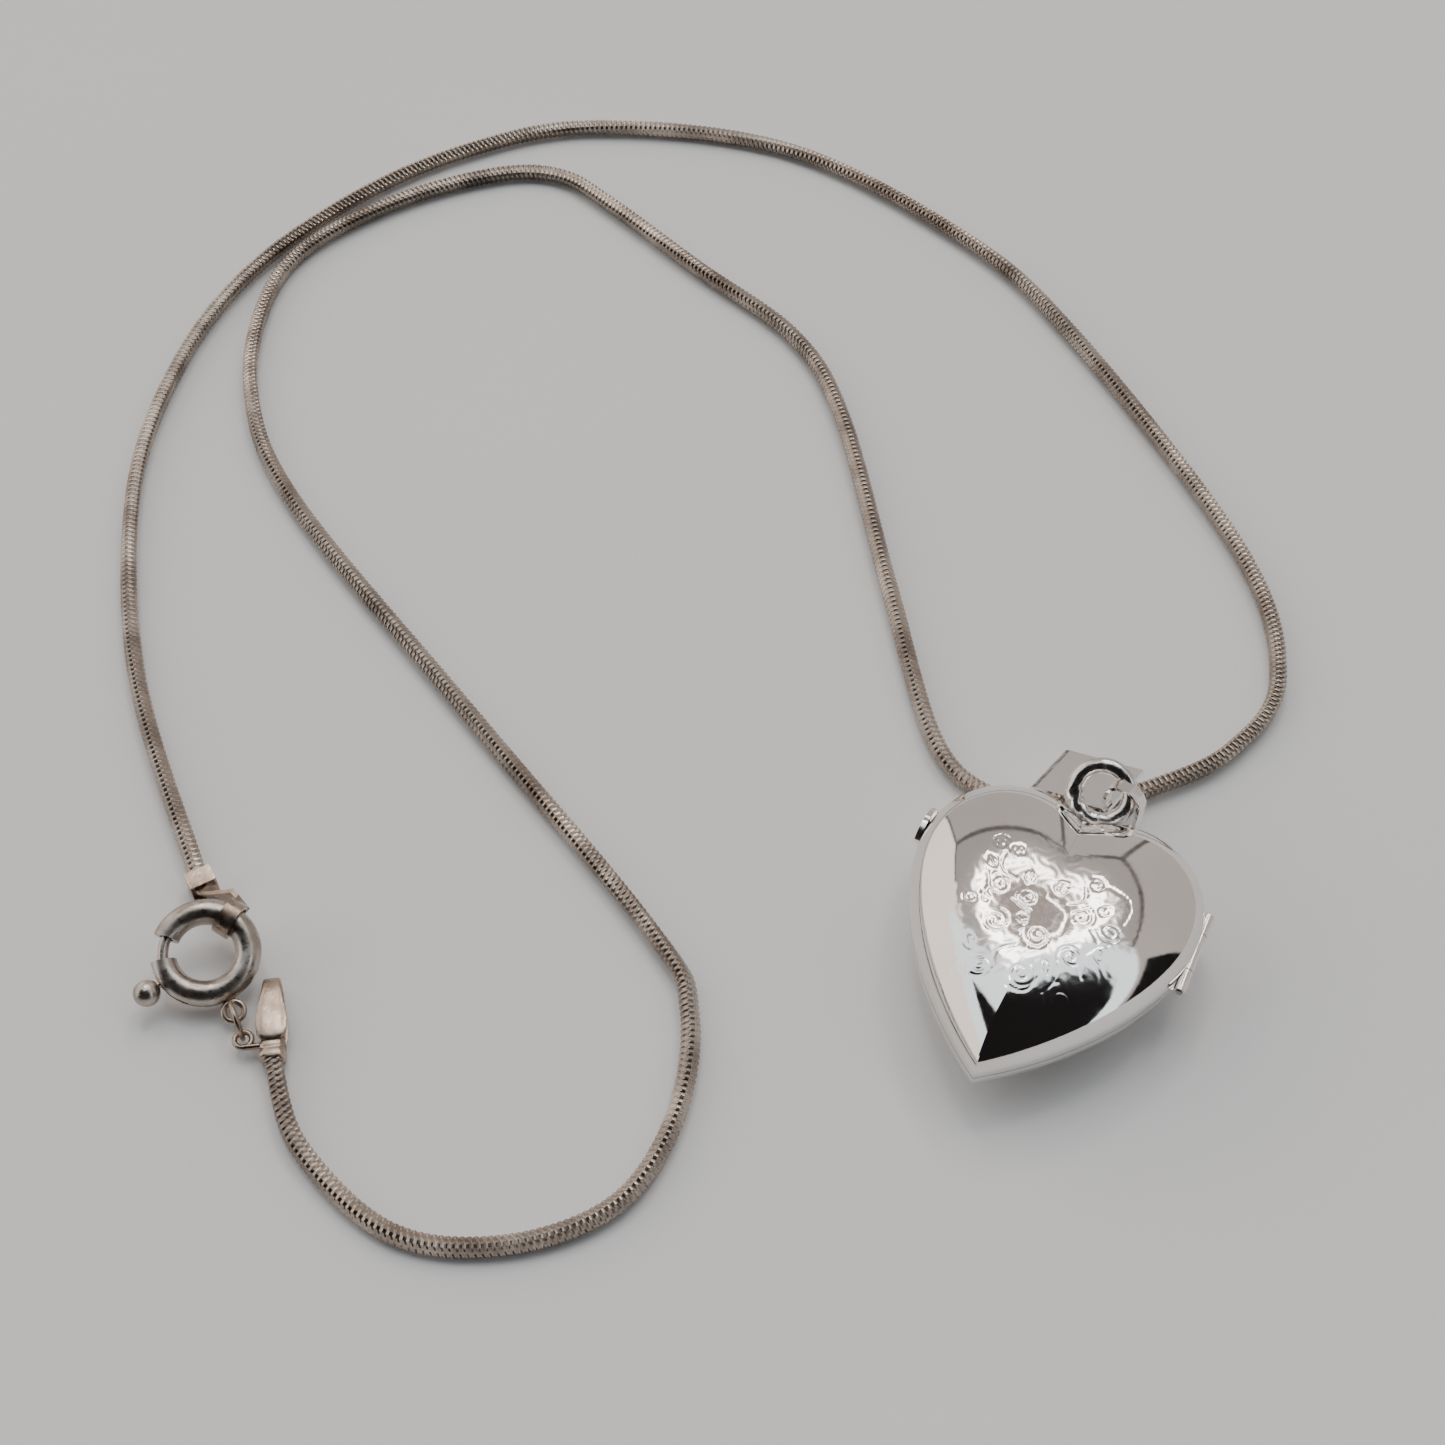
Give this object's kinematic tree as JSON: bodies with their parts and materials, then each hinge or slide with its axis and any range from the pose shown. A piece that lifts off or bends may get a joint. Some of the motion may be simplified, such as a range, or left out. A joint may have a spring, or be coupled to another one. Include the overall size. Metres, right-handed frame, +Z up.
{
  "type": "heart locket on a chain",
  "caption": "Puffed heart locket that opens on a side hinge, with a hanging ring, folded strip bail, square snake chain and spring ring clasp.",
  "frame": {"origin": "the surface the locket lies on, under the middle of the closed locket with its hinge, ring and bail", "axes": "+Z up through the closed locket, out of its front shell; +Y along the heart from its tip to its notch; the hinge is on the +X side"},
  "size_m": [0.0936, 0.104, 0.008],
  "materials": {
    "bright_silver": "polished silver",
    "dull_silver": "lightly tarnished silver",
    "chain_silver": "tarnished ribbed silver",
    "clear_window": "clear plastic",
    "paper_insert": "plain blank paper"
  },
  "bodies": {
    "root": {"back_shell": "bright_silver", "back_frame": "bright_silver", "back_window": "clear_window", "back_insert": "paper_insert", "hinge_knuckles_back": "bright_silver", "hinge_pin": "dull_silver", "snap_lip": "bright_silver", "hanging_ring": "bright_silver", "ring_solder": "bright_silver", "bail": "bright_silver", "chain": "chain_silver", "end_cap_upper": "dull_silver", "end_cap_lower": "dull_silver", "clasp_ring": "dull_silver", "clasp_spring": "dull_silver", "clasp_eye": "dull_silver", "jump_link": "dull_silver"},
    "cover": {"front_shell": "bright_silver", "front_frame": "bright_silver", "front_window": "clear_window", "front_insert": "paper_insert", "hinge_knuckle_front": "bright_silver", "thumb_tab": "bright_silver"},
    "trigger": {"clasp_bolt": "dull_silver"}
  },
  "joints": [
    {"name": "cover_hinge", "type": "hinge", "parent": "root", "child": "cover", "pos_m": [0.0095, 0.0002, 0.004], "axis": [0, 1, 0], "range_deg": [0, 170]},
    {"name": "clasp_trigger", "type": "hinge", "parent": "root", "child": "trigger", "pos_m": [-0.0483, -0.0264, 0.0024], "axis": [0.2677, -0.2129, 0.9397], "range_deg": [0, 30], "stiffness_Nm_per_rad": 0.0005, "deforming": ["clasp_spring"]}
  ]
}
